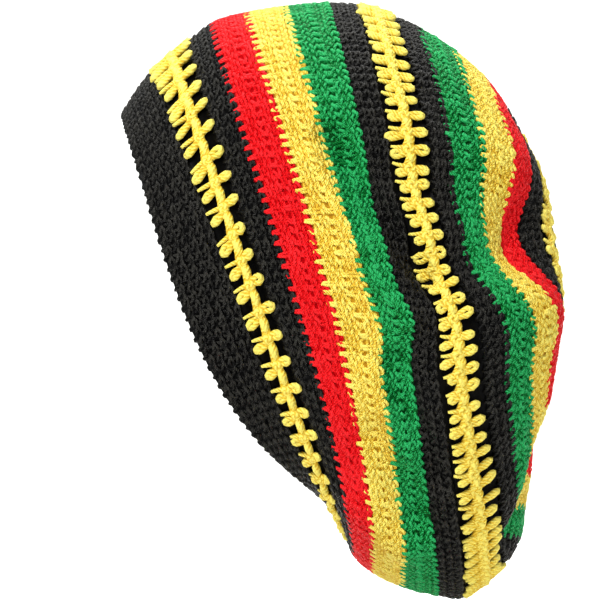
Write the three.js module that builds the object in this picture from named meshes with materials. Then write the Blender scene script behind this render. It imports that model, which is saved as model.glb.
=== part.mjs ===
// A crocheted tam in its worn form: a black rim round the head opening, bands of
// black, red, yellow and green, three rounds of yellow openwork over black, and a
// tall soft bag that hangs back. Millimetres, +Z up. The wearer looks along -Y and
// +X is the wearer's left. The origin is the middle of the head opening.

import * as THREE from 'three';

// Overall sizes of the worn form
const hatHeight = 281;
const hatDepth = 210;
const hatWidth = 204;

// The knitted wall, and the clearance between neighbouring bands
const knitWall = 3.0;
const bandGap = 0.3;

// Openwork: a yellow round of clusters lies over a thinner black ground
const clusterWall = 1.1;
const clusterClearance = 0.7;
const clusterTipClearance = 1.2;
const clusterSpineWidth = 5.2;
const openwork1Pitch = 10.8;
const openwork2Pitch = 7.9;
const openwork3Pitch = 8.4;

// Width of each band, measured along the knitting from the rim to the crown
const rimWidth = 27;
const openwork1Width = 18;
const blackBand1Width = 14;
const redBand1Width = 17;
const yellowBand1Width = 18;
const greenBand1Width = 18;
const blackBand2Width = 13.5;
const openwork2Width = 18;
const blackBand3Width = 14;
const greenBand2Width = 18;
const yellowBand2Width = 17;
const redBand2Width = 17;
const blackBand4Width = 13;
const openwork3Width = 17;
const crownCentreRadius = 52;

// Folds: the deepest one, and the reach of the widest one to each side
const foldDepth = 19;
const foldWidth = 19;

// Facets round each band
const facetsAround = 54;

const colours = {
  black: 0x222424,
  red: 0xe0141c,
  yellow: 0xf2d75a,
  green: 0x0f9448,
};

// Sections: loops from the rim to the middle of the crown.
// along:    share of the knitting from the rim (0) to the crown's middle (1)
// topBack:  highest point of the loop, share of hatDepth behind the rim's front
// topUp:    the same point, share of hatHeight above the lowest point of the bag
// lowBack:  lowest point of the loop, share of hatDepth
// lowUp:    the same point, share of hatHeight
// wide:     width of the loop, share of hatWidth
// bowTop:   how far the loop's sides lie towards the face, share of hatDepth,
//           weighted to its upper half
// bowLow:   the same, weighted to its lower half
const sectionColumns = ['along', 'topBack', 'topUp', 'lowBack', 'lowUp', 'wide', 'bowTop', 'bowLow'];
const sections = [
  [0.000, 0.000, 0.814, 0.470, 0.164, 0.745, 0.029, 0.129],
  [0.093, 0.069, 0.884, 0.488, 0.131, 0.784, -0.014, 0.038],
  [0.154, 0.148, 0.933, 0.506, 0.101, 0.824, 0.000, -0.005],
  [0.202, 0.208, 0.968, 0.524, 0.070, 0.863, 0.000, -0.043],
  [0.261, 0.289, 0.985, 0.568, 0.042, 0.912, -0.014, -0.057],
  [0.322, 0.374, 0.995, 0.635, 0.018, 0.951, -0.019, -0.057],
  [0.384, 0.465, 1.000, 0.711, 0.005, 0.990, -0.014, -0.024],
  [0.431, 0.528, 0.997, 0.770, 0.002, 1.000, -0.010, -0.019],
  [0.492, 0.617, 0.977, 0.866, 0.060, 1.000, -0.010, -0.010],
  [0.540, 0.671, 0.958, 0.898, 0.102, 0.971, -0.010, -0.024],
  [0.602, 0.749, 0.921, 0.909, 0.156, 0.912, -0.024, -0.048],
  [0.660, 0.814, 0.878, 0.920, 0.206, 0.824, -0.048, -0.067],
  [0.719, 0.868, 0.827, 0.924, 0.251, 0.716, -0.048, -0.067],
  [0.763, 0.902, 0.784, 0.926, 0.298, 0.627, -0.043, -0.057],
  [0.822, 0.933, 0.717, 0.931, 0.358, 0.490, -0.029, -0.048],
  [1.000, 0.946, 0.533, 0.946, 0.533, 0.000, 0.000, 0.000],
];

// Folds: each runs between two places on the knitting.
// from, to:      share of the knitting from the rim to the crown's middle
// fromTurn, toTurn: degrees round the loop, from its top past the wearer's left
// reach:         share of foldWidth to each side
// lift, toLift:  out (+) or in (-) at the start and at the end, share of foldDepth
// slip, toSlip:  shift along the knitting towards the crown, share of foldDepth
const foldColumns = ['from', 'fromTurn', 'to', 'toTurn', 'reach', 'lift', 'toLift', 'slip', 'toSlip'];
const folds = [
  [0.443, 68, 0.678, 75, 1.00, -0.32, -0.84, -0.16, -0.14],
  [0.511, 84, 0.660, 86, 0.74, -0.32, -0.53, -0.16, -0.16],
  [0.507, 100, 0.695, 102, 0.95, 0.21, 0.12, 0.16, 0.26],
  [0.322, 96, 0.403, 94, 0.74, 0.05, 0.10, 0.22, 0.26],
  [0.304, 118, 0.360, 136, 0.53, -0.26, -0.32, -0.16, -0.16],
  [0.231, 140, 0.310, 147, 0.63, 0.21, 0.26, 0.16, 0.16],
  [0.545, 158, 0.690, 150, 0.70, -0.45, -0.95, -0.35, -0.50],
  [0.408, 300, 0.684, 284, 0.95, -0.16, -0.63, -0.05, -0.21],
  [0.261, 262, 0.516, 258, 0.84, 0.10, 0.21, 0.00, 0.16],
  [0.462, 226, 0.672, 214, 0.74, -0.16, -0.37, 0.00, 0.00],
  [0.746, 20, 0.890, 200, 0.74, -0.16, -0.16, 0.00, 0.00],
];

const asRows = (table, columns) => table.map(
  (row) => Object.fromEntries(columns.map((name, i) => [name, row[i]])),
);
const sectionRows = asRows(sections, sectionColumns);
const foldRows = asRows(folds, foldColumns);

// Slope of each section column at each row, so that the surface runs smoothly
// through the rows
function columnSlopes(name) {
  const steps = sectionRows.slice(1).map((row, i) => {
    const run = row.along - sectionRows[i].along;
    return { run, slope: (row[name] - sectionRows[i][name]) / run };
  });
  return sectionRows.map((row, i) => {
    if (i === 0) return steps[0].slope;
    if (i === sectionRows.length - 1) return steps[i - 1].slope;
    const before = steps[i - 1];
    const after = steps[i];
    return (before.slope * after.run + after.slope * before.run) / (before.run + after.run);
  });
}
const slopes = Object.fromEntries(sectionColumns.slice(1).map((name) => [name, columnSlopes(name)]));

function sectionAt(along) {
  let i = 0;
  while (i < sectionRows.length - 2 && along >= sectionRows[i + 1].along) i += 1;
  const a = sectionRows[i];
  const b = sectionRows[i + 1];
  const run = b.along - a.along;
  const t = (along - a.along) / run;
  const out = {};
  for (const name of sectionColumns.slice(1)) {
    out[name] = (1 + 2 * t) * (1 - t) ** 2 * a[name]
      + t * (1 - t) ** 2 * run * slopes[name][i]
      + t * t * (3 - 2 * t) * b[name]
      + t * t * (t - 1) * run * slopes[name][i + 1];
  }
  return out;
}

// The middle of the head opening is the origin
const rimRow = sectionRows[0];
const originBack = (rimRow.topBack + rimRow.lowBack) / 2;
const originUp = (rimRow.topUp + rimRow.lowUp) / 2;

// A point of the form before its folds; turn is in radians
function formPoint(along, turn) {
  const s = sectionAt(along);
  const topY = (s.topBack - originBack) * hatDepth;
  const topZ = (s.topUp - originUp) * hatHeight;
  const lowY = (s.lowBack - originBack) * hatDepth;
  const lowZ = (s.lowUp - originUp) * hatHeight;
  const halfY = (topY - lowY) / 2;
  const halfZ = (topZ - lowZ) / 2;
  const length = Math.hypot(halfY, halfZ) + 1e-9;
  const c = Math.cos(turn);
  const sn = Math.sin(turn);
  const bow = sn * sn * hatDepth * (s.bowTop * (1 + c) / 2 + s.bowLow * (1 - c) / 2);
  return new THREE.Vector3(
    s.wide * (hatWidth / 2) * sn,
    (topY + lowY) / 2 + halfY * c - (halfZ / length) * bow,
    (topZ + lowZ) / 2 + halfZ * c + (halfY / length) * bow,
  );
}

// Directions out of the surface and towards the crown at a place on it
function directions(pointAt, along, turn) {
  const step = 1e-3;
  const towardsCrown = pointAt(Math.min(along + step, 1), turn)
    .sub(pointAt(Math.max(along - step, 0), turn));
  const round = pointAt(along, turn + step).sub(pointAt(along, turn - step));
  const outwards = new THREE.Vector3().crossVectors(round, towardsCrown).normalize();
  return { outwards, towardsCrown: towardsCrown.normalize() };
}

const foldLines = foldRows.map((fold) => {
  const start = formPoint(fold.from, THREE.MathUtils.degToRad(fold.fromTurn));
  const end = formPoint(fold.to, THREE.MathUtils.degToRad(fold.toTurn));
  return { ...fold, line: new THREE.Line3(start, end) };
});

// A point of the outer face of the knitting, folds included
function knitPoint(along, turn) {
  const base = formPoint(along, turn);
  const { outwards, towardsCrown } = directions(formPoint, along, turn);
  const point = base.clone();
  const nearest = new THREE.Vector3();
  for (const fold of foldLines) {
    const share = fold.line.closestPointToPointParameter(base, true);
    fold.line.at(share, nearest);
    const reach = fold.reach * foldWidth;
    const strength = foldDepth * Math.exp(-nearest.distanceToSquared(base) / (reach * reach));
    point.addScaledVector(outwards, strength * THREE.MathUtils.lerp(fold.lift, fold.toLift, share));
    point.addScaledVector(towardsCrown, strength * THREE.MathUtils.lerp(fold.slip, fold.toSlip, share));
  }
  return point;
}

// Bands from the rim to the crown
const bands = [
  { name: 'rim', width: rimWidth, colour: 'black', strips: 2 },
  { name: 'openwork_1', width: openwork1Width, colour: 'black', pitch: openwork1Pitch },
  { name: 'black_band_1', width: blackBand1Width, colour: 'black', strips: 1 },
  { name: 'red_band_1', width: redBand1Width, colour: 'red', strips: 1 },
  { name: 'yellow_band_1', width: yellowBand1Width, colour: 'yellow', strips: 1 },
  { name: 'green_band_1', width: greenBand1Width, colour: 'green', strips: 1 },
  { name: 'black_band_2', width: blackBand2Width, colour: 'black', strips: 1 },
  { name: 'openwork_2', width: openwork2Width, colour: 'black', pitch: openwork2Pitch },
  { name: 'black_band_3', width: blackBand3Width, colour: 'black', strips: 1 },
  { name: 'green_band_2', width: greenBand2Width, colour: 'green', strips: 1 },
  { name: 'yellow_band_2', width: yellowBand2Width, colour: 'yellow', strips: 1 },
  { name: 'red_band_2', width: redBand2Width, colour: 'red', strips: 1 },
  { name: 'black_band_4', width: blackBand4Width, colour: 'black', strips: 1 },
  { name: 'openwork_3', width: openwork3Width, colour: 'black', pitch: openwork3Pitch },
  { name: 'crown_centre', width: crownCentreRadius, colour: 'black', strips: 3 },
];
const knitLength = bands.reduce((sum, band) => sum + band.width, 0);
let reached = 0;
for (const band of bands) {
  band.start = reached / knitLength;
  reached += band.width;
  band.end = reached / knitLength;
}

const turns = Array.from({ length: facetsAround }, (_, k) => (2 * Math.PI * k) / facetsAround);

// One loop of corners on the outer face, shifted along the knitting by a length
function cornerLoop(along, shift) {
  return turns.map((turn) => {
    const { outwards, towardsCrown } = directions(knitPoint, along, turn);
    return { point: knitPoint(along, turn).addScaledVector(towardsCrown, shift), outwards };
  });
}

const inset = (corner, depth) => corner.point.clone().addScaledVector(corner.outwards, -depth);

// A closed mesh from points and triangles, turned so that its faces point out
function closedMesh(name, colour, points, triangles) {
  let volume = 0;
  for (const [a, b, c] of triangles) {
    volume += points[a].dot(new THREE.Vector3().crossVectors(points[b], points[c]));
  }
  const geometry = new THREE.BufferGeometry();
  const coordinates = points.flatMap((p) => [p.x, p.y, p.z]);
  geometry.setAttribute('position', new THREE.Float32BufferAttribute(coordinates, 3));
  geometry.setIndex(triangles.flatMap(([a, b, c]) => (volume > 0 ? [a, b, c] : [a, c, b])));
  geometry.computeVertexNormals();
  const material = new THREE.MeshStandardMaterial({
    color: colours[colour], roughness: 0.85, metalness: 0, flatShading: true,
  });
  const mesh = new THREE.Mesh(geometry, material);
  mesh.name = name;
  return mesh;
}

const quad = (a, b, c, d) => [[a, b, c], [a, c, d]];

// The loops of corners from a band's start to its end, clear of its neighbours
function bandLoops(band, strips) {
  const loops = [];
  for (let i = 0; i <= strips; i += 1) {
    const along = THREE.MathUtils.lerp(band.start, band.end, i / strips);
    const atRim = band.start === 0 && i === 0;
    const shift = (i === 0 && !atRim ? bandGap / 2 : 0) - (i === strips && band.end < 1 ? bandGap / 2 : 0);
    loops.push(cornerLoop(along, shift));
  }
  return loops;
}

// A ring of knitted wall between two depths under the outer face
function ringOfWall(name, colour, loops, outerDepth, innerDepth) {
  const n = facetsAround;
  const rows = loops.length;
  const points = [
    ...loops.flatMap((loop) => loop.map((corner) => inset(corner, outerDepth))),
    ...loops.flatMap((loop) => loop.map((corner) => inset(corner, innerDepth))),
  ];
  const outer = (row, k) => row * n + (k % n);
  const inner = (row, k) => (rows + row) * n + (k % n);
  const triangles = [];
  for (let k = 0; k < n; k += 1) {
    for (let row = 0; row < rows - 1; row += 1) {
      triangles.push(...quad(outer(row, k), outer(row + 1, k), outer(row + 1, k + 1), outer(row, k + 1)));
      triangles.push(...quad(inner(row, k), inner(row, k + 1), inner(row + 1, k + 1), inner(row + 1, k)));
    }
    const last = rows - 1;
    triangles.push(...quad(outer(0, k), outer(0, k + 1), inner(0, k + 1), inner(0, k)));
    triangles.push(...quad(outer(last, k), inner(last, k), inner(last, k + 1), outer(last, k + 1)));
  }
  return closedMesh(name, colour, points, triangles);
}

// The crown's closed middle: loops that end in one point on each face
function crownOfWall(name, colour, loops, depth) {
  const n = facetsAround;
  const rings = loops.slice(0, -1);
  const middle = { point: knitPoint(1, 0), outwards: new THREE.Vector3() };
  for (const corner of rings[rings.length - 1]) middle.outwards.add(corner.outwards);
  middle.outwards.normalize();
  const points = [
    ...rings.flatMap((loop) => loop.map((corner) => inset(corner, 0))),
    ...rings.flatMap((loop) => loop.map((corner) => inset(corner, depth))),
    inset(middle, 0),
    inset(middle, depth),
  ];
  const outer = (row, k) => row * n + (k % n);
  const inner = (row, k) => (rings.length + row) * n + (k % n);
  const outerMiddle = 2 * rings.length * n;
  const last = rings.length - 1;
  const triangles = [];
  for (let k = 0; k < n; k += 1) {
    for (let row = 0; row < last; row += 1) {
      triangles.push(...quad(outer(row, k), outer(row + 1, k), outer(row + 1, k + 1), outer(row, k + 1)));
      triangles.push(...quad(inner(row, k), inner(row, k + 1), inner(row + 1, k + 1), inner(row + 1, k)));
    }
    triangles.push([outer(last, k), outerMiddle, outer(last, k + 1)]);
    triangles.push([inner(last, k), inner(last, k + 1), outerMiddle + 1]);
    triangles.push(...quad(outer(0, k), outer(0, k + 1), inner(0, k + 1), inner(0, k)));
  }
  return closedMesh(name, colour, points, triangles);
}

// A yellow round of clusters over a band's ground: an unbroken spine with a
// pointed prong on each side of every cluster
function clusterRound(name, band, loops) {
  const [first, second] = loops;
  const place = (across, turnShare, depth) => {
    const at = turnShare * facetsAround;
    const k = Math.floor(at) % facetsAround;
    const t = at - Math.floor(at);
    const u = across / band.width;
    const near = inset(first[k], depth);
    const far = inset(second[(k + 1) % facetsAround], depth).sub(near);
    // the same two triangles that the ground's facet has
    if (u >= t) {
      const side = inset(second[k], depth).sub(near);
      return near.addScaledVector(side, u - t).addScaledVector(far, t);
    }
    const side = inset(first[(k + 1) % facetsAround], depth).sub(near);
    return near.addScaledVector(side, t - u).addScaledVector(far, u);
  };
  const girth = first.reduce((sum, corner, k) => {
    const next = (k + 1) % facetsAround;
    const here = corner.point.clone().lerp(second[k].point, 0.5);
    return sum + here.distanceTo(first[next].point.clone().lerp(second[next].point, 0.5));
  }, 0);
  const count = Math.round(girth / band.pitch);
  const spineStart = (band.width - clusterSpineWidth) / 2;
  const spineEnd = (band.width + clusterSpineWidth) / 2;
  const points = [];
  for (const depth of [0, clusterWall]) {
    for (let j = 0; j < count; j += 1) {
      const turnAt = (share) => ((j + share) / count) % 1;
      points.push(place(spineStart, turnAt(0.12), depth));
      points.push(place(clusterTipClearance, turnAt(0.72), depth));
      points.push(place(spineStart, turnAt(0.78), depth));
      points.push(place(spineEnd, turnAt(0.12), depth));
      points.push(place(band.width - clusterTipClearance, turnAt(0.18), depth));
      points.push(place(spineEnd, turnAt(0.78), depth));
    }
  }
  const under = count * 6;
  const triangles = [];
  for (let j = 0; j < count; j += 1) {
    const next = ((j + 1) % count) * 6;
    const [rimA, rimTip, rimB, crownA, crownTip, crownB] = [0, 1, 2, 3, 4, 5].map((i) => j * 6 + i);
    const top = [
      ...quad(rimA, crownA, crownB, rimB),
      ...quad(rimB, crownB, next + 3, next),
      [rimA, rimB, rimTip],
      [crownA, crownTip, crownB],
    ];
    triangles.push(...top);
    triangles.push(...top.map(([a, b, c]) => [a + under, c + under, b + under]));
    const rimEdge = [rimA, rimTip, rimB, next];
    const crownEdge = [crownA, crownTip, crownB, next + 3];
    for (let i = 0; i < 3; i += 1) {
      triangles.push(...quad(rimEdge[i], rimEdge[i + 1], rimEdge[i + 1] + under, rimEdge[i] + under));
      const [crownSide, crownNext] = [crownEdge[i], crownEdge[i + 1]];
      triangles.push(...quad(crownNext, crownSide, crownSide + under, crownNext + under));
    }
  }
  return closedMesh(name, 'yellow', points, triangles);
}

const group = new THREE.Group();
for (const band of bands) {
  if (band.pitch) {
    const loops = bandLoops(band, 1);
    const groundDepth = clusterWall + clusterClearance;
    group.add(ringOfWall(`${band.name}_ground`, band.colour, loops, groundDepth, knitWall));
    group.add(clusterRound(`${band.name}_clusters`, band, loops));
  } else if (band.end < 1) {
    group.add(ringOfWall(band.name, band.colour, bandLoops(band, band.strips), 0, knitWall));
  } else {
    group.add(crownOfWall(band.name, band.colour, bandLoops(band, band.strips), knitWall));
  }
}

export default group;
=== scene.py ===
"""A crocheted tam, held up in its worn form.

The bag of the hat is one smooth surface. A place on it is given by `along`, the
share of the knitting from the rim (0) to the middle of the crown (1), and by
`turn`, the angle round the loop from its top past the wearer's left side.
Every stitch is real yarn: a tube swept along a path that repeats from stitch to
stitch, laid on that surface. Lengths are in millimetres until a mesh is made.
"""
import math
import bpy
import numpy as np
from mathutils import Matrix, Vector


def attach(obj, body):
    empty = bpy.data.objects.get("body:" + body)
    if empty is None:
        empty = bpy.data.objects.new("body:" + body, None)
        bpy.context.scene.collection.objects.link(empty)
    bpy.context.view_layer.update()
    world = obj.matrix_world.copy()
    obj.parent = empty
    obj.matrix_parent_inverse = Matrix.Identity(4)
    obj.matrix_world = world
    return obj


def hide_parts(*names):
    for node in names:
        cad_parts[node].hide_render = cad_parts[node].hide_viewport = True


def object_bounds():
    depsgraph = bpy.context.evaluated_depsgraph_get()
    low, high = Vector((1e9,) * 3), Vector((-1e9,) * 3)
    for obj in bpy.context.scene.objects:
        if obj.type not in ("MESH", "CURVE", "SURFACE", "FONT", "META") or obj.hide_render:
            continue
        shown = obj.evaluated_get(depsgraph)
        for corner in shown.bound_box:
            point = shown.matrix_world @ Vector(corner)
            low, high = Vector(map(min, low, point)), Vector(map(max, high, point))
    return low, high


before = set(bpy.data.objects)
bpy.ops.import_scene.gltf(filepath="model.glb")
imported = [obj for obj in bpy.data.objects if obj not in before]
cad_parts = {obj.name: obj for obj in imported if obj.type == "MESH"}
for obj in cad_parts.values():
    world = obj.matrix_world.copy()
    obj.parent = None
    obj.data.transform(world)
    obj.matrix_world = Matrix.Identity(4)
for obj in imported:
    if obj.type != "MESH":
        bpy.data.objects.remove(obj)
cad_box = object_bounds()

MM = 0.001
BODY = "root"

# Sizes of the hat and of its folds
HAT_HEIGHT = 281.0
HAT_DEPTH = 210.0
HAT_WIDTH = 204.0
FOLD_DEPTH = 19.0
FOLD_REACH = 19.0

# Sections: loops from the rim to the middle of the crown, as shares of the
# sizes above. Columns: along, top back, top up, low back, low up, width,
# bow of the upper half and of the lower half towards the face.
SECTIONS = np.array([
    [0.000, 0.000, 0.814, 0.470, 0.164, 0.745, 0.029, 0.129],
    [0.093, 0.069, 0.884, 0.488, 0.131, 0.784, -0.014, 0.038],
    [0.154, 0.148, 0.933, 0.506, 0.101, 0.824, 0.000, -0.005],
    [0.202, 0.208, 0.968, 0.524, 0.070, 0.863, 0.000, -0.043],
    [0.261, 0.289, 0.985, 0.568, 0.042, 0.912, -0.014, -0.057],
    [0.322, 0.374, 0.995, 0.635, 0.018, 0.951, -0.019, -0.057],
    [0.384, 0.465, 1.000, 0.711, 0.005, 0.990, -0.014, -0.024],
    [0.431, 0.528, 0.997, 0.770, 0.002, 1.000, -0.010, -0.019],
    [0.492, 0.617, 0.977, 0.866, 0.060, 1.000, -0.010, -0.010],
    [0.540, 0.671, 0.958, 0.898, 0.102, 0.971, -0.010, -0.024],
    [0.602, 0.749, 0.921, 0.909, 0.156, 0.912, -0.024, -0.048],
    [0.660, 0.814, 0.878, 0.920, 0.206, 0.824, -0.048, -0.067],
    [0.719, 0.868, 0.827, 0.924, 0.251, 0.716, -0.048, -0.067],
    [0.763, 0.902, 0.784, 0.926, 0.298, 0.627, -0.043, -0.057],
    [0.822, 0.933, 0.717, 0.931, 0.358, 0.490, -0.029, -0.048],
    [1.000, 0.946, 0.533, 0.946, 0.533, 0.000, 0.000, 0.000],
])

# Folds between two places on the knitting. Columns: from, turn, to, turn,
# reach as a share of FOLD_REACH, then lift at the start and end, and slip at
# the start and end, as shares of FOLD_DEPTH.
FOLDS = np.array([
    [0.443, 68, 0.678, 75, 1.00, -0.32, -0.84, -0.16, -0.14],
    [0.511, 84, 0.660, 86, 0.74, -0.32, -0.53, -0.16, -0.16],
    [0.507, 100, 0.695, 102, 0.95, 0.21, 0.12, 0.16, 0.26],
    [0.322, 96, 0.403, 94, 0.74, 0.05, 0.10, 0.22, 0.26],
    [0.304, 118, 0.360, 136, 0.53, -0.26, -0.32, -0.16, -0.16],
    [0.231, 140, 0.310, 147, 0.63, 0.21, 0.26, 0.16, 0.16],
    [0.545, 158, 0.690, 150, 0.70, -0.45, -0.95, -0.35, -0.50],
    [0.408, 300, 0.684, 284, 0.95, -0.16, -0.63, -0.05, -0.21],
    [0.261, 262, 0.516, 258, 0.84, 0.10, 0.21, 0.00, 0.16],
    [0.462, 226, 0.672, 214, 0.74, -0.16, -0.37, 0.00, 0.00],
    [0.746, 20, 0.890, 200, 0.74, -0.16, -0.16, 0.00, 0.00],
    # shallow wrinkles
    [0.330, 58, 0.445, 86, 0.32, -0.42, -0.50, -0.05, -0.14],
    [0.284, 64, 0.380, 94, 0.30, 0.26, 0.28, 0.06, 0.14],
    [0.296, 106, 0.345, 122, 0.34, 0.18, 0.20, 0.05, 0.10],
    [0.350, 102, 0.410, 126, 0.32, -0.24, -0.28, -0.05, -0.08],
    [0.470, 40, 0.560, 58, 0.35, -0.08, -0.12, 0.00, 0.00],
    [0.160, 60, 0.270, 78, 0.35, -0.06, -0.08, 0.00, 0.00],
    [0.420, 120, 0.540, 132, 0.35, -0.08, -0.10, 0.00, 0.04],
])

# Bands from the rim to the crown: node, yarn, width, kind of stitch, rounds in
# the band and stitches in one round (clusters, for openwork; none for the
# crown's middle, whose rounds shrink).
BANDS = [
    ("rim", "black", 27.0, "single", 6, 118),
    ("openwork_1", "yellow", 18.0, "openwork", 1, 51),
    ("black_band_1", "black", 14.0, "single", 3, 130),
    ("red_band_1", "red", 17.0, "double", 2, 134),
    ("yellow_band_1", "yellow", 18.0, "double", 2, 152),
    ("green_band_1", "green", 18.0, "slant", 2, 166),
    ("black_band_2", "black", 13.5, "single", 3, 160),
    ("openwork_2", "yellow", 18.0, "openwork", 1, 92),
    ("black_band_3", "black", 14.0, "single", 3, 152),
    ("green_band_2", "green", 18.0, "slant", 2, 154),
    ("yellow_band_2", "yellow", 17.0, "double", 2, 144),
    ("red_band_2", "red", 17.0, "double", 2, 132),
    ("black_band_4", "black", 13.0, "single", 3, 100),
    ("openwork_3", "yellow", 17.0, "openwork", 1, 44),
    ("crown_centre", "black", 52.0, "single", 11, 0),
]
KNIT_LENGTH = sum(band[2] for band in BANDS)
CROWN_STITCH = 4.4     # stitch width in the crown's middle
CROWN_LEAST = 6        # stitches in its smallest round
CROWN_KNOBS = 56       # stitches that the knobs of its backing follow
CROWN_REACH = 0.999    # how far along the backing goes, short of the pole

YARN_RADIUS = {"black": 0.80, "red": 0.88, "yellow": 0.90, "green": 0.84}
SINK = 1.0             # how far the middle of the stitches lies under the outer face
FOOT_REACH = 1.6       # how much further a new colour's feet reach back

# The backing of the bands, and the black ground of the openwork
SHELL_DEPTH = 0.95     # below the outer face
SHELL_WALL = 1.5
GROUND_DEPTH = 2.3
GROUND_WALL = 0.8
GROUND_ROUNDS = 3
GROUND_STITCHES = 100
KNOB_HEIGHT = 0.32     # knobs on the inner face
KNOB_ROWS = 4          # rows of them in a round
KNOB_ROOM = 1.6        # where the columns are closer than this, the knobs fade
ROUND_SWELL = 0.5      # how far each round swells the inner face

rng = np.random.default_rng(7)


# The surface
def row_slopes(x, y):
    """Slope of each column at each row: the average of the slopes on its two
    sides, each weighted by the length of the other side."""
    run = np.diff(x)[:, None]
    slope = np.diff(y, axis=0) / run
    out = np.zeros_like(y)
    out[1:-1] = (slope[:-1] * run[1:] + slope[1:] * run[:-1]) / (run[1:] + run[:-1])
    out[0], out[-1] = slope[0], slope[-1]
    return out


SECTION_SLOPES = row_slopes(SECTIONS[:, 0], SECTIONS[:, 1:])
ORIGIN_BACK = (SECTIONS[0, 1] + SECTIONS[0, 3]) / 2
ORIGIN_UP = (SECTIONS[0, 2] + SECTIONS[0, 4]) / 2


def sections_at(along):
    """Cubic through the section rows: value and slope match at both rows."""
    x, y, m = SECTIONS[:, 0], SECTIONS[:, 1:], SECTION_SLOPES
    i = np.clip(np.searchsorted(x, along, side="right") - 1, 0, len(x) - 2)
    run = (x[i + 1] - x[i])[..., None]
    t = (along - x[i])[..., None] / run
    return ((1 + 2 * t) * (1 - t) ** 2 * y[i] + t * (1 - t) ** 2 * run * m[i]
            + t * t * (3 - 2 * t) * y[i + 1] + t * t * (t - 1) * run * m[i + 1])


def form_point(along, turn):
    """A loop through its highest and lowest point: half the way between them
    times the cosine of turn, half the width times its sine, and the sides
    bowed towards the face by the sine squared."""
    columns = np.moveaxis(sections_at(along), -1, 0)
    top_back, top_up, low_back, low_up, width, top_bow, low_bow = columns
    top_y = (top_back - ORIGIN_BACK) * HAT_DEPTH
    top_z = (top_up - ORIGIN_UP) * HAT_HEIGHT
    low_y = (low_back - ORIGIN_BACK) * HAT_DEPTH
    low_z = (low_up - ORIGIN_UP) * HAT_HEIGHT
    half_y, half_z = (top_y - low_y) / 2, (top_z - low_z) / 2
    length = np.hypot(half_y, half_z) + 1e-9
    cos, sin = np.cos(turn), np.sin(turn)
    bow = sin * sin * HAT_DEPTH * (top_bow * (1 + cos) / 2 + low_bow * (1 - cos) / 2)
    return np.stack([
        width * HAT_WIDTH / 2 * sin,
        (top_y + low_y) / 2 + half_y * cos - half_z / length * bow,
        (top_z + low_z) / 2 + half_z * cos + half_y / length * bow], -1)


def unit(v):
    """Each vector divided by its length."""
    return v / (np.linalg.norm(v, axis=-1, keepdims=True) + 1e-12)


def directions(along, turn):
    """Out of the form, and towards the crown: from small steps both ways."""
    step = 1e-3
    ahead = form_point(np.minimum(along + step, 1), turn)
    crownward = ahead - form_point(np.maximum(along - step, 0), turn)
    around = form_point(along, turn + step) - form_point(along, turn - step)
    return unit(np.cross(around, crownward)), unit(crownward)


def knit_point(along, turn):
    """The form, moved by each fold: out and along by a bell curve of the
    distance from the fold's line."""
    base = form_point(along, turn)
    outwards, crownward = directions(along, turn)
    point = base.copy()
    for start, start_turn, end, end_turn, reach, lift, to_lift, slip, to_slip in FOLDS:
        a = form_point(np.array(start), np.radians(start_turn))
        b = form_point(np.array(end), np.radians(end_turn))
        way = b - a
        share = np.clip((base - a) @ way / (way @ way), 0, 1)
        gap = ((base - a - share[..., None] * way) ** 2).sum(-1)
        strength = FOLD_DEPTH * np.exp(-gap / (reach * FOLD_REACH) ** 2)
        point += outwards * (strength * (lift + (to_lift - lift) * share))[..., None]
        point += crownward * (strength * (slip + (to_slip - slip) * share))[..., None]
    return point


# The surface is worked out once on a fine grid and read between its points
GRID_ALONG, GRID_TURN = 700, 1440
POLE_ROWS = 12         # the pole faces as the loop this many rows before it does


def outward_grid(points):
    """Out of the surface at each grid point: square to the steps round the loop
    and along the knitting."""
    around = np.roll(points[:, :-1], -1, 1) - np.roll(points[:, :-1], 1, 1)
    around = np.concatenate([around, around[:, :1]], 1)
    out = unit(np.cross(around, np.gradient(points, axis=0)))
    out[-1] = unit(out[-POLE_ROWS].mean(0))
    return out


GRID_POINT = knit_point(*np.meshgrid(
    np.linspace(0, 1, GRID_ALONG), np.linspace(0, 2 * np.pi, GRID_TURN + 1), indexing="ij"))
GRID_OUT = outward_grid(GRID_POINT)


def on_surface(along, turn, height):
    """Point at a height over the outer face, and the direction out there, read
    from the grid by a weighted mean of the four grid points around. A place
    before the rim's edge lies straight on from it."""
    x = np.clip(along, 0, 1) * (GRID_ALONG - 1)
    y = np.mod(turn, 2 * np.pi) / (2 * np.pi) * GRID_TURN
    i = np.clip(x.astype(int), 0, GRID_ALONG - 2)
    j = np.clip(y.astype(int), 0, GRID_TURN - 1)
    u, v = (x - i)[..., None], (y - j)[..., None]

    def read(grid):
        near = (1 - v) * grid[i, j] + v * grid[i, j + 1]
        far = (1 - v) * grid[i + 1, j] + v * grid[i + 1, j + 1]
        return (1 - u) * near + u * far

    out = unit(read(GRID_OUT))
    beyond = np.clip(-along, 0, None)[..., None] * KNIT_LENGTH
    point = read(GRID_POINT) - beyond * unit(GRID_POINT[1, j] - GRID_POINT[0, j])
    return point + out * height[..., None], out


def loop_walk(along):
    """Length walked round the loop at a place along the knitting, summed from
    its top to each grid point."""
    row = min(int(round(along * (GRID_ALONG - 1))), GRID_ALONG - 2)
    steps = np.linalg.norm(np.diff(GRID_POINT[row], axis=0), axis=1)
    return np.concatenate([[0], np.cumsum(steps)])


def even_turns(along, shares):
    """Turn at each share of the way round a loop, so that stitches are evenly
    spaced: the loop's length is summed and read backwards."""
    walked = loop_walk(along)
    whole = np.floor(shares)
    grid_shares = np.arange(GRID_TURN + 1) / GRID_TURN
    return (whole + np.interp(shares - whole, walked / walked[-1], grid_shares)) * 2 * np.pi


def girth(along):
    """Length round the loop at a place along the knitting."""
    return float(loop_walk(along)[-1])


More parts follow.
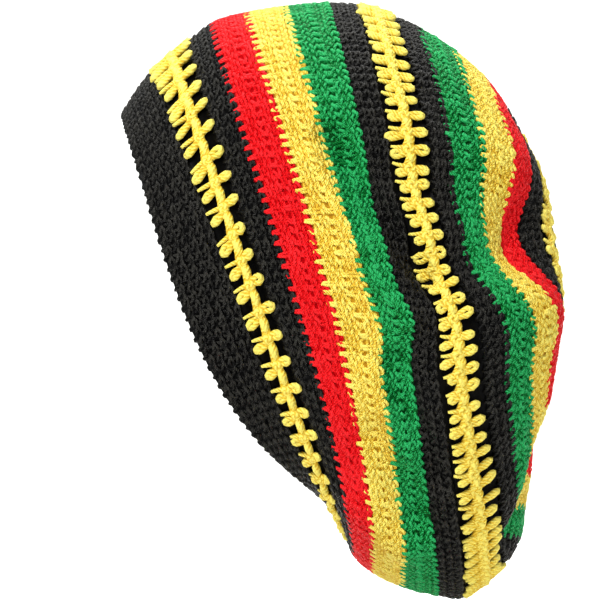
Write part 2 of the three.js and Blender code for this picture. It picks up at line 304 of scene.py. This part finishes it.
# Meshes
class Yarns:
    """Gathers the tubes of one piece and makes them one mesh."""

    def __init__(self):
        self.points, self.faces, self.uvs, self.heights = [], [], [], []
        self.count = 0

    def sweep(self, centre, out, radius, height, closed, sides=4):
        """Tubes along rows of points. A ring of `sides` points stands round
        each centre, square to the path: radius times cosine along the side
        direction plus radius times sine along the outward one. UV runs in
        radii of the yarn along it and in turns round it. An open tube has four
        sides, and one face closes each end."""
        rows, steps = centre.shape[:2]
        spans = steps if closed else steps - 1
        ahead = np.roll(centre, -1, 1)
        tangent = unit(ahead - np.roll(centre, 1, 1) if closed else np.gradient(centre, axis=1))
        side = unit(np.cross(tangent, out))
        up = np.cross(side, tangent)
        angle = (np.arange(sides) + 0.5) * 2 * np.pi / sides
        ring = (np.cos(angle)[:, None] * side[:, :, None]
                + np.sin(angle)[:, None] * up[:, :, None])
        reach = np.broadcast_to(radius, (rows, steps))[:, :, None, None]
        points = centre[:, :, None] + ring * reach

        def corner(r, s, k):
            return (r * steps + s % steps) * sides + k % sides

        r, s, k = np.meshgrid(np.arange(rows), np.arange(spans), np.arange(sides), indexing="ij")
        quads = np.stack([corner(r, s, k), corner(r, s + 1, k),
                          corner(r, s + 1, k + 1), corner(r, s, k + 1)], -1)
        stride = np.linalg.norm(ahead - centre, axis=-1) / np.mean(radius)
        walked = np.concatenate([np.zeros((rows, 1)), np.cumsum(stride, 1)], 1)
        u = np.stack([walked[r, s], walked[r, s + 1], walked[r, s + 1], walked[r, s]], -1)
        v = np.stack([k, k, k + 1, k + 1], -1) / sides
        quads, uvs = quads.reshape(-1, 4), np.stack([u, v], -1).reshape(-1, 2)
        if not closed:
            first = corner(np.arange(rows)[:, None], 0, np.arange(sides))
            last = corner(np.arange(rows)[:, None], steps - 1, np.arange(sides))[:, ::-1]
            quads = np.concatenate([quads, first, last])
            uvs = np.concatenate([uvs, np.zeros((first.size + last.size, 2))])
        heights = np.broadcast_to(height, (rows, steps)).ravel()
        self.add(points.reshape(-1, 3), quads, uvs, np.repeat(heights, sides))

    def add(self, points, quads, uvs, heights):
        """One more part of the piece: its quads count on from the points before."""
        self.points.append(points)
        self.faces.append(quads + self.count)
        self.uvs.append(uvs)
        self.heights.append(heights)
        self.count += len(points)

    def mesh(self, name):
        """All the parts as one object."""
        return quad_mesh(name, np.concatenate(self.points), np.concatenate(self.faces),
                         np.concatenate(self.uvs), np.concatenate(self.heights))


def quad_mesh(name, points, quads, uvs, heights):
    """A smooth mesh of quads, in metres, with a UV map and, as an attribute, each point's height
    over the outer face, or for backings and clusters a shade value, by which the material paints
    shade and highlight."""
    mesh = bpy.data.meshes.new(name)
    mesh.vertices.add(len(points))
    mesh.vertices.foreach_set("co", (points * MM).astype(np.float32).ravel())
    mesh.loops.add(quads.size)
    mesh.loops.foreach_set("vertex_index", quads.astype(np.int32).ravel())
    mesh.polygons.add(len(quads))
    mesh.polygons.foreach_set("loop_start", np.arange(0, quads.size, 4, dtype=np.int32))
    mesh.polygons.foreach_set("use_smooth", np.ones(len(quads), dtype=bool))
    layer = mesh.uv_layers.new(name="yarn")
    layer.data.foreach_set("uv", uvs.astype(np.float32).ravel())
    level = mesh.attributes.new("height", "FLOAT", "POINT")
    level.data.foreach_set("value", heights.astype(np.float32))
    mesh.update(calc_edges=True)
    mesh.validate()
    obj = bpy.data.objects.new(name, mesh)
    bpy.context.collection.objects.link(obj)
    return obj


# Stitches. Each path is one repeat of a strand. Columns: share of a stitch round
# the hat (growing downwards on the wearer's left), share of the round's height
# (0 at the rim side), and millimetres over the outer face. The next repeat goes
# on from it. A post stands in a double stitch, and the legs in a single one.
POST = np.array([
    [0.55, -0.23, -0.95],
    [0.50, -0.16, 0.20],
    [0.44, 0.03, 0.30],
    [0.34, 0.26, -0.15],
    [0.26, 0.88, -0.25],
    [0.58, 0.92, -0.25],
    [0.70, 0.30, -0.20],
    [0.69, 0.03, 0.30],
    [0.63, -0.16, 0.20],
    [0.60, -0.23, -0.95],
])
LEGS = np.array([
    [0.04, -0.10, -0.70],
    [0.20, 0.22, 0.05],
    [0.38, 0.58, -0.05],
    [0.56, 0.58, -0.10],
    [0.74, 0.22, 0.05],
    [0.92, -0.10, -0.70],
])
STANDING = {"double": POST, "slant": POST, "single": LEGS}

# The strands that wind across a stitch. Columns: middle and swing, as shares of
# the round's height, lift and rise in millimetres, and start round the hat.
COILS = {
    "double": [
        [0.14, 0.03, 0.34, 0.02, 0.20],
        [0.33, -0.03, 0.34, 0.02, 0.62],
        [0.51, 0.03, 0.34, 0.02, 0.05],
        [0.70, -0.03, 0.34, 0.02, 0.45],
        [0.89, -0.09, 0.40, 0.05, 0.10],
    ],
    "slant": [
        [0.14, 0.05, 0.42, 0.00, 0.20],
        [0.34, 0.06, 0.48, 0.00, 0.62],
        [0.53, -0.05, 0.42, 0.00, 0.05],
        [0.72, 0.06, 0.48, 0.00, 0.45],
        [0.90, -0.13, 0.60, 0.12, 0.10],
    ],
    "single": [
        [0.52, 0.16, 0.45, 0.05, 0.10],
        [0.84, -0.10, 0.38, 0.12, 0.00],
    ],
}
COIL_STEPS = 4


def coil(middle, swing, lift, rise, start):
    """A strand that winds about its own line: it swings across by a cosine and
    lifts by a sine, so each repeat shows one slanted stroke."""
    t = (np.arange(COIL_STEPS) + 0.5) / COIL_STEPS
    return np.stack([t + start, middle + swing * np.cos(2 * np.pi * t),
                     rise + lift * np.sin(2 * np.pi * t)], -1)


STITCHES = {kind: [STANDING[kind]] + [coil(*row) for row in rows] for kind, rows in COILS.items()}

# How uneven the handwork is, as standard deviations: round the hat in stitches,
# across in shares of the round's height, and outwards in millimetres.
STITCH_STRAY = (0.05, 0.02, 0.09)    # a whole stitch; across, it grows by a share
STRAND_STRAY = (0.07, 0.14)          # one strand of it, round and outwards
POINT_STRAY = (0.02, 0.015, 0.08)    # one point of a strand
POST_HOLD = 0.4                      # a post strays this much of what a coil does


def lay_round(yarns, stitch, start, end, count, radius, foot):
    """One round of stitches between two shares of the knitting. Each strand's
    repeat is set out `count` times; every stitch is nudged a little, by the
    same amount for all its strands. `foot` stretches what lies below the round
    into the band before it."""
    shift, swell, nudge = (rng.normal(0, spread, count) for spread in STITCH_STRAY)
    for path in STITCHES[stitch]:
        hold = POST_HOLD if path is POST else 1.0
        stray, lift = (rng.normal(0, spread * hold, count) for spread in STRAND_STRAY)
        wobble = rng.normal(0, 1, (3, count, len(path))) * np.reshape(POINT_STRAY, (3, 1, 1))
        u = np.arange(count)[:, None] + path[:, 0] + (shift + stray)[:, None] + wobble[0]
        v = path[:, 1] * (1 + swell[:, None]) + wobble[1]
        v = np.where(v < 0, v * foot, v)
        w = (path[:, 2] + (nudge + lift)[:, None] + wobble[2]).ravel()
        along = start + (end - start) * v
        turn = even_turns((start + end) / 2, (u / count).ravel())
        point, out = on_surface(along.ravel(), turn, w - SINK)
        yarns.sweep(point[None], out[None], radius, w[None], closed=True)


def shell(yarns, start, end, depth, wall, rounds, stitches):
    """The backing of a band: a closed ring of wall under the stitches. Its inner
    face swells by the absolute sine of each round and carries knobs set like a
    chequerboard, two to a stitch, as the back of crochet does. The knobs fade
    where the columns crowd at the crown. UV runs in millimetres."""
    columns = 2 * stitches
    middle = (start + end) / 2
    outer_rows = rounds + 3
    v = np.concatenate([np.linspace(0, 1, outer_rows), np.linspace(1, 0, KNOB_ROWS * rounds + 1)])
    along = start + (end - start) * v
    i, j = np.meshgrid(np.arange(len(v)), np.arange(columns), indexing="ij")
    inner = i >= outer_rows
    room = np.clip([girth(place) / columns / KNOB_ROOM for place in along], 0, 1)[:, None]
    knob = inner * (KNOB_HEIGHT * room * (-1.0) ** (i + j)
                    + ROUND_SWELL * np.abs(np.sin(np.pi * rounds * v))[:, None])
    height = np.where(inner, -depth - wall, -depth) - knob
    turn = even_turns(middle, j.ravel() / columns).reshape(i.shape)
    point, _ = on_surface(np.broadcast_to(along[:, None], i.shape), turn, height)

    def corner(row, column):
        return row % len(v) * columns + column % columns

    quads = np.stack([corner(i, j), corner(i, j + 1), corner(i + 1, j + 1), corner(i + 1, j)], -1)
    across = np.append(v, 0) * (end - start) * KNIT_LENGTH
    uvs = np.stack([np.stack([j, j + 1, j + 1, j], -1) / columns * girth(middle),
                    np.stack([across[i], across[i], across[i + 1], across[i + 1]], -1)], -1)
    # painted shade and highlight by this height: the outer face, seen in the gaps between the
    # stitches, takes the darkest painted shade, and the knobs' crowns on the inner face a painted
    # highlight as the stitches' crowns do
    shade_height = np.where(inner, knob * 1.5 - 0.6, -1.0)
    yarns.add(point.reshape(-1, 3), quads.reshape(-1, 4), uvs.reshape(-1, 2), shade_height.ravel())


# Openwork rounds, in millimetres. `mid` is the spine's place across the band
# and `spine` its half width. `thin` is the thin end: its root and tip round the
# hat and its tip across. A loop has its root round the hat, its tip round and
# across, and its half width. `drawn` says where the clusters spread or draw in:
# the turn, how far about it, both in degrees, and the gain.
OPENWORK = {
    "openwork_1": dict(
        radius=1.42, mid=10.0, spine=1.15, thin=(-0.6, -0.2, -0.2),
        loops=[(-0.4, (-2.2, 18.2), 0.95), (1.2, (5.4, 1.0), 0.90)],
        drawn=[(128, 16, 0.10)]),
    "openwork_2": dict(
        radius=1.30, mid=8.4, spine=1.35, thin=(-1.0, -1.7, 0.8),
        loops=[(0.0, (0.2, 15.8), 1.02), (0.9, (1.9, 2.2), 0.85)],
        drawn=[(71, 7, -0.12), (108, 13, -0.20)]),
    "openwork_3": dict(
        radius=1.26, mid=8.2, spine=1.30, thin=(-1.0, -1.7, 0.8),
        loops=[(0.0, (0.2, 15.0), 1.00), (0.9, (1.9, 2.2), 0.85)],
        drawn=[]),
}
YARN_SIDES = 5
TOP_SWELL = 0.28       # the yarn is fuller over the hat's top, where it lies packed
TOP_REACH = 30         # degrees about the top
# The spine's pairs are a measure between the hubs and the same at the hubs
SPINE_SPREAD = (0.70, 1.20)    # shares of the spine's half width
SPINE_HEIGHT = (0.50, 0.10)    # its outer strands over the outer face
WEAVE_HEIGHT = (1.25, -0.15)   # the strand on top of them
SPINE_STEPS = 8        # points of the spine in one cluster
SPINE_SWAY = 0.6       # the spine leans this far from side to side
SPINE_WEAVE = 0.3      # the strand on top swings this far
SPINE_KNOBS = 0.14     # how far its yarn is thick and thin by turns
LOOP_STEPS = 14
LOOP_HEIGHT = (0.05, 0.80)     # over the outer face, at its root and at its tip
LOOP_STEM = 0.85       # half width of the stem, as a share of the loop's
LOOP_PARTS = (0.48, 0.82)      # shares of the length between which the ring opens
LOOP_KNOBS = 0.07
ROOT_LEAN = 0.8        # roots start this far on the other side of the spine's middle
THIN_STEPS = 6
THIN_HEIGHT = (0.25, 0.80)     # at its root and at its tip
THIN_TAPER = 0.45      # share of its radius that it loses at its tip
KNOT_STEPS = 7
KNOT_RADIUS = 1.5      # the ring of yarn over the hub
KNOT_HEIGHT = 0.6
KNOT_YARN = 1.1        # its yarn against the round's

# How uneven the clusters are: a standard deviation, and what each measure
# takes of it
CLUSTER_STRAY = 0.34
HUB_STRAY = 1.5                # the hub along the spine
TIP_STRAY = (2.0, 2.5)         # a loop's tip round the hat and across
THIN_STRAY = 2.5               # the thin end's tip round the hat
OPEN_STRAY = 0.4               # a loop's half width


def shade(z):
    """The height that sets an openwork yarn's painted shade: roots get painted shadow, raised tips a
    painted highlight.
    """
    return 1.4 * z - 0.55


def rise(pair, share):
    """The measure at a share of the way from the first of a pair to the second."""
    return pair[0] + (pair[1] - pair[0]) * share


class ClusterRound:
    """A round of yellow clusters. Each has a hub on the spine, a loop towards
    the crown, a thick loop and a thin end towards the rim, and a knot on top."""

    def __init__(self, yarns, start, end, count, width, radius, mid, drawn):
        self.yarns, self.count, self.drawn = yarns, count, drawn
        self.start, self.end, self.width, self.mid = start, end, width, mid
        self.middle = (start + end) / 2
        self.pitch = girth(self.middle) / count
        self.stray = rng.normal(0, CLUSTER_STRAY, (count, 6))
        self.hub = np.arange(count)[:, None] + 0.5
        self.radius = radius
        self.full_radius = radius * self.fullness(even_turns(self.middle, self.hub / count))

    def fullness(self, turn):
        """How full the yarn is: one, and a bell curve over the hat's top."""
        angle = np.degrees(np.mod(turn, 2 * np.pi))
        from_top = np.minimum(angle, 360 - angle)
        return 1 + TOP_SWELL * np.exp(-(from_top / TOP_REACH) ** 2)

    def along(self, y):
        """Place along the knitting, from millimetres across the band."""
        return self.start + (self.end - self.start) * y / self.width

    def place(self, x, y, z):
        """x in mm round the hat from the cluster's hub, y in mm from the band's
        start, z in mm over the outer face; each is clusters by steps."""
        x = x + HUB_STRAY * self.stray[:, 5:]
        turn = even_turns(self.middle, ((self.hub + x / self.pitch) / self.count).ravel())
        reach = 1 + sum(gain * np.exp(-((np.degrees(turn) - at) / half) ** 2)
                        for at, half, gain in self.drawn)
        along = self.along(self.mid + (y.ravel() - self.mid) * reach)
        point, out = on_surface(along, turn, z.ravel() - SINK)
        return point.reshape(x.shape + (3,)), out.reshape(x.shape + (3,))

    def lay(self, x, y, z, share, closed, sides=YARN_SIDES):
        """One tube in each cluster, with the given share of the yarn's radius."""
        point, out = self.place(x, y, z)
        self.yarns.sweep(point, out, self.full_radius * share, shade(z), closed, sides)

    def lay_spine(self, half):
        """Two outer strands that draw in between the hubs, by a cosine, and one
        on top that weaves between them, by a sine of twice the pace. All of them
        dip under the knots at the hubs, the one on top the deepest."""
        t = np.arange(self.count * SPINE_STEPS) / SPINE_STEPS
        wave = np.cos(2 * np.pi * t)
        at_hub = (1 + wave) / 2
        turn = even_turns(self.middle, (t + 0.5) / self.count)
        for side in (-1, 0, 1):
            if side == 0:
                across = SPINE_WEAVE * np.sin(4 * np.pi * t)
                z = rise(WEAVE_HEIGHT, at_hub)
            else:
                across = half * side * rise(SPINE_SPREAD, at_hub)
                z = rise(SPINE_HEIGHT, at_hub)
            along = self.along(self.mid + across - SPINE_SWAY * wave)
            point, out = on_surface(along, turn, z - SINK)
            knobs = 1 + SPINE_KNOBS * np.cos(4 * np.pi * t + side)
            radius = self.radius * self.fullness(turn) * knobs
            self.yarns.sweep(point[None], out[None], radius, shade(z[None]), True, YARN_SIDES)

    def lay_loops(self, number, root_x, tip, half):
        """A closed loop: it goes from root to tip and back by a cosine and
        swings aside by a sine. Its sides touch in the stem and part from the
        middle on, by a smooth step, into a small ring at the tip."""
        root = np.array([root_x, self.mid - ROOT_LEAN * np.sign(tip[1] - self.mid)])
        way = np.array(tip) - root
        ahead = unit(way)
        t = (np.arange(LOOP_STEPS) + 0.5) / LOOP_STEPS * 2 * np.pi
        t = t + 0.45 * np.sin(t)                # more points round the ring
        reach = (1 - np.cos(t)) / 2
        parts, parted = LOOP_PARTS
        part = np.clip((reach - parts) / (parted - parts), 0, 1)
        opened = LOOP_STEM * (1 + part * part * (3 - 2 * part))
        swing = half * np.sin(t) * opened * (1 + OPEN_STRAY * self.stray[:, 4:5])
        stray_x, stray_y = self.stray[:, 2 * number, None], self.stray[:, 2 * number + 1, None]
        x = root[0] + way[0] * reach - ahead[1] * swing + TIP_STRAY[0] * stray_x * reach
        y = root[1] + way[1] * reach + ahead[0] * swing + TIP_STRAY[1] * stray_y * reach
        knobs = 1 + LOOP_KNOBS * (-1.0) ** np.arange(LOOP_STEPS)
        self.lay(x, y, rise(LOOP_HEIGHT, reach) + 0 * x, knobs, closed=True)

    def lay_thin_ends(self, root, tip, tip_across):
        """An end that starts level with the hub, bends by the square of its
        length and gets thinner towards its tip."""
        t = np.linspace(0, 1, THIN_STEPS)
        from_y = self.mid - ROOT_LEAN
        x = root + (tip - root) * t * t + THIN_STRAY * self.stray[:, 4:5] * t
        y = from_y + (tip_across - from_y) * t + 0 * x
        z = rise(THIN_HEIGHT, t) + 0 * x
        self.lay(x, y, z, 1 - THIN_TAPER * t * t, closed=False, sides=4)

    def lay_knots(self):
        """The knot over the hub: a small ring of yarn."""
        t = np.arange(KNOT_STEPS) / KNOT_STEPS * 2 * np.pi
        x = KNOT_RADIUS * np.cos(t) + 0 * self.hub
        y = self.mid + KNOT_RADIUS * np.sin(t) + 0 * self.hub
        self.lay(x, y, KNOT_HEIGHT + 0 * x, KNOT_YARN, closed=True)


def cluster_round(yarns, start, end, count, width, radius, mid, spine, thin, loops, drawn):
    """One whole openwork round, laid strand by strand."""
    work = ClusterRound(yarns, start, end, count, width, radius, mid, drawn)
    work.lay_spine(spine)
    for number, loop in enumerate(loops):
        work.lay_loops(number, *loop)
    work.lay_thin_ends(*thin)
    work.lay_knots()


# Materials
def linear(code):
    """sRGB hex to linear: the usual curve, a power of 2.4 above a small step."""
    value = [int(code[i:i + 2], 16) / 255 for i in (1, 3, 5)]
    return tuple(c / 12.92 if c <= 0.04045 else ((c + 0.055) / 1.055) ** 2.4 for c in value) + (1.0,)


def node(tree, kind, settings=(), inputs=(), links=()):
    """One node: attributes set, sockets filled, and sockets fed by others."""
    made = tree.nodes.new("ShaderNode" + kind)
    for name, value in dict(settings).items():
        setattr(made, name, value)
    for name, value in dict(inputs).items():
        made.inputs[name].default_value = value
    for name, source in dict(links).items():
        tree.links.new(source, made.inputs[name])
    return made


PATCH = 9 * MM              # the dye varies over a few stitches
FIBRE = 1.1 * MM            # single fibres are too fine to show, so these are tufts
PLIES = 3
PLY_TURN = 4.4              # radii of the yarn for one turn of its plies
PLY_RELIEF = 0.26 * MM
SHADE_HEIGHTS = (-1.0, 0.75)  # painted shade lightens to painted highlight between these heights in millimetres
SHADE_STOPS = (0.15, 5 / 6, 1.0)    # where the painted-shade, body and painted-highlight colours stand
# How much the dye's patches, the tufts and the plies' painted shade and highlight add to the
# colour's brightness, how much the tufts add to the plies' relief, and the strength of that relief
PATCH_DYE, FIBRE_DYE, PLY_SHADE = 0.30, 0.24, 0.19
FIBRE_RELIEF = 0.6
RELIEF_STRENGTH = 0.6


def crochet_yarn(name, deep, body, bright, rough, gloss):
    """Soft spun acrylic yarn, plied and dyed. Painted shade darkens it down between the
    strands and painted highlight brightens their crowns, by the height attribute; the dye
    varies softly over a few stitches, and the plies stand as fine slanted ridges, by a sine
    of the way along the yarn plus the way round it, with painted shade in their grooves."""
    material = bpy.data.materials.new(name)
    material.use_nodes = True
    tree = material.node_tree
    tree.nodes.clear()
    add = {"operation": "MULTIPLY_ADD"}
    place = node(tree, "TexCoord").outputs["Object"]
    height = node(tree, "Attribute", {"attribute_name": "height"})
    # painted shade and highlight: darker down between the strands, lighter on their crowns
    height_shade = node(tree, "MapRange", {}, {"From Min": SHADE_HEIGHTS[0], "From Max": SHADE_HEIGHTS[1]},
                  {"Value": height.outputs["Fac"]})
    patch = node(tree, "TexNoise", {}, {"Scale": 1 / PATCH, "Detail": 2.0}, {"Vector": place})
    fibre = node(tree, "TexNoise", {}, {"Scale": 1 / FIBRE, "Detail": 3.0}, {"Vector": place})
    # plies: a wave whose stripes climb the yarn
    uv = node(tree, "UVMap", {"uv_map": "yarn"})
    slant = node(tree, "Mapping", {}, {"Scale": (1 / PLY_TURN, 1.0, 1.0)},
                 {"Vector": uv.outputs["UV"]})
    parts = node(tree, "SeparateXYZ", {}, {}, {"Vector": slant.outputs["Vector"]})
    climb = node(tree, "Math", {"operation": "ADD"}, {},
                 {0: parts.outputs["X"], 1: parts.outputs["Y"]})
    angle = node(tree, "Math", {"operation": "MULTIPLY"}, {1: 2 * math.pi * PLIES},
                 {0: climb.outputs["Value"]})
    ply = node(tree, "Math", {"operation": "SINE"}, {}, {0: angle.outputs["Value"]})
    # painted shade and highlight by the height, with the dye's patches, the tufts and the plies'
    # painted shade added
    mixed = node(tree, "Math", add, {1: PATCH_DYE},
                 {0: patch.outputs["Fac"], 2: height_shade.outputs["Result"]})
    flecked = node(tree, "Math", add, {1: FIBRE_DYE},
                   {0: fibre.outputs["Fac"], 2: mixed.outputs["Value"]})
    # the plies add painted shade in their grooves and painted highlight on their ridges
    lined = node(tree, "Math", add, {1: PLY_SHADE},
                 {0: ply.outputs["Value"], 2: flecked.outputs["Value"]})
    ramp = node(tree, "ValToRGB", {}, {}, {"Fac": lined.outputs["Value"]})
    stops = ramp.color_ramp.elements
    stops.new(0.5)
    for stop, (position, code) in enumerate(zip(SHADE_STOPS, (deep, body, bright))):
        stops[stop].position = position
        stops[stop].color = linear(code)
    relief = node(tree, "Math", add, {1: FIBRE_RELIEF},
                  {0: fibre.outputs["Fac"], 2: ply.outputs["Value"]})
    bump = node(tree, "Bump", {}, {"Strength": RELIEF_STRENGTH, "Distance": PLY_RELIEF},
                {"Height": relief.outputs["Value"]})
    shader = node(tree, "BsdfPrincipled", {},
                  {"Roughness": rough, "IOR": 1.5, "Specular IOR Level": gloss},
                  {"Base Color": ramp.outputs["Color"], "Normal": bump.outputs["Normal"]})
    node(tree, "OutputMaterial", {}, {}, {"Surface": shader.outputs["BSDF"]})
    return material


MATERIALS = {
    # deep black with a painted grey highlight on the stitches' crowns and a little gloss, so that
    # the stitches read
    "black": crochet_yarn("acrylic_yarn_spun_black", "#010101", "#050504", "#2c2b27", 0.44, 0.13),
    # a full, warm red, matt, with painted shade only between the strands
    "red": crochet_yarn("acrylic_yarn_spun_red", "#b00008", "#e2060e", "#f4242a", 0.5, 0.08),
    # golden yellow with ochre shadows, the lightest of the four
    "yellow": crochet_yarn("acrylic_yarn_spun_yellow", "#c08418", "#edc63a", "#fcea70", 0.5, 0.08),
    # a cool, deep green with painted highlights on its crowns that draw its slanted strokes
    "green": crochet_yarn("acrylic_yarn_spun_green", "#003c10", "#00762e", "#2ab062", 0.5, 0.10),
}


# The pieces
def finish_piece(obj, yarn, *nodes):
    """Material in its colour slot and body for the piece; the CAD nodes that it stands for are
    hidden.
    """
    obj.data.materials.append(MATERIALS[yarn])
    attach(obj, BODY)
    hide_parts(*nodes)


reached = 0.0
before = None
for name, yarn, width, stitch, rounds, count in BANDS:
    start, reached = reached / KNIT_LENGTH, reached + width
    end = reached / KNIT_LENGTH
    yarns = Yarns()
    if stitch == "openwork":
        cluster_round(yarns, start, end, count, width, **OPENWORK[name])
        finish_piece(yarns.mesh(name + "_yarn"), "yellow", name + "_clusters")
        ground = Yarns()
        shell(ground, start, end, GROUND_DEPTH, GROUND_WALL, GROUND_ROUNDS, GROUND_STITCHES)
        finish_piece(ground.mesh(name + "_backing"), "black", name + "_ground")
    else:
        shell(yarns, start, min(end, CROWN_REACH), SHELL_DEPTH, SHELL_WALL, rounds,
              count or CROWN_KNOBS)
        for i in range(rounds):
            low = start + (end - start) * i / rounds
            high = start + (end - start) * (i + 1) / rounds
            number = count or max(CROWN_LEAST, round(girth((low + high) / 2) / CROWN_STITCH))
            foot = FOOT_REACH if i == 0 and before not in (None, yarn) else 1.0
            lay_round(yarns, stitch, low, high, number, YARN_RADIUS[yarn], foot)
        finish_piece(yarns.mesh(name + "_yarn"), yarn, name)
    before = yarn

# The studio, in metres from here on
low_corner, high_corner = np.array(cad_box[0]), np.array(cad_box[1])
centre = (low_corner + high_corner) / 2
FLOOR_GAP = 0.03       # between the hat, held up, and the floor
FLOOR_FRONT = 6.0
BEND_START = -1.4      # where the sheet leaves the floor, beyond the hat
BEND_RADIUS = 0.6
BEND_STEPS = 24
WALL_TOP = 5.0
SHEET_HALF = 6.0       # half the sheet's breadth


def backdrop():
    """A plain pale sheet that runs level and then curves up: a straight, a
    quarter circle and a straight, carried sideways."""
    bend = np.radians(90) * np.linspace(0, 1, BEND_STEPS)
    x = np.concatenate([[FLOOR_FRONT], BEND_START - BEND_RADIUS * np.sin(bend),
                        [BEND_START - BEND_RADIUS]])
    z = np.concatenate([[0.0], BEND_RADIUS * (1 - np.cos(bend)), [WALL_TOP]])
    z = z + float(low_corner[2]) - FLOOR_GAP
    y = np.array([-SHEET_HALF, SHEET_HALF])
    points = np.stack([np.repeat(x, 2), np.tile(y, len(x)), np.repeat(z, 2)], -1)
    i = np.arange(len(x) - 1) * 2
    faces = np.stack([i, i + 2, i + 3, i + 1], -1)
    mesh = bpy.data.meshes.new("floor")
    mesh.from_pydata(points.tolist(), [], faces.tolist())
    mesh.polygons.foreach_set("use_smooth", np.ones(len(faces), dtype=bool))
    obj = bpy.data.objects.new("floor", mesh)
    bpy.context.collection.objects.link(obj)
    # matt white paper: an even pale ground without any shine
    paper = bpy.data.materials.new("matt_paper_white")
    paper.use_nodes = True
    shader = paper.node_tree.nodes["Principled BSDF"]
    shader.inputs["Base Color"].default_value = linear("#f4f4f2")
    shader.inputs["Roughness"].default_value = 0.9
    mesh.materials.append(paper)


def area_light(name, place, size, power, aim=(0.0, 0.0, 0.0)):
    """A soft square light of `size` metres and `power` watts, at `place` from
    the hat's middle, that looks at that middle or at `aim` from it."""
    data = bpy.data.lights.new(name, "AREA")
    data.shape, data.size, data.energy = "SQUARE", size, power
    obj = bpy.data.objects.new(name, data)
    obj.location = centre + np.array(place)
    way = Vector(np.array(aim) - np.array(place))
    obj.rotation_euler = way.to_track_quat("-Z", "Y").to_euler()
    bpy.context.collection.objects.link(obj)


backdrop()
area_light("key", (1.15, -0.9, 1.5), 0.7, 41)
area_light("fill", (1.8, 1.0, 0.3), 1.4, 5)
area_light("top", (0.0, 0.1, 1.8), 1.2, 3)
area_light("backdrop", (-0.5, 0.0, 0.9), 1.2, 22, (-1.6, 0.0, -0.5))

world = bpy.data.worlds.new("studio")
world.use_nodes = True
sky = world.node_tree.nodes["Background"]
sky.inputs["Color"].default_value = (1.0, 1.0, 1.0, 1.0)
sky.inputs["Strength"].default_value = 0.32
bpy.context.scene.world = world

# The photograph's view: level, from the wearer's left, with a long lens. The
# frame's middle lies some pixels behind and above the origin.
PHOTO_SCALE = 0.472 * MM      # metres in one pixel of the frame
FRAME_PIXELS = 600
AIM_BACK_PIXELS = 75
AIM_UP_PIXELS = 7
CAMERA_AWAY = 1.6
SENSOR_WIDTH = 36.0           # millimetres, as the lens is
camera_data = bpy.data.cameras.new("camera")
camera_data.sensor_width = SENSOR_WIDTH
camera_data.lens = SENSOR_WIDTH * CAMERA_AWAY / (PHOTO_SCALE * FRAME_PIXELS)
camera = bpy.data.objects.new("camera", camera_data)
camera.location = (CAMERA_AWAY, AIM_BACK_PIXELS * PHOTO_SCALE, AIM_UP_PIXELS * PHOTO_SCALE)
camera.rotation_euler = (math.radians(90), 0, math.radians(90))
bpy.context.collection.objects.link(camera)
bpy.context.scene.camera = camera
# dyed yarn keeps its full strength of colour, as in a studio photograph
bpy.context.scene.view_settings.view_transform = "Standard"
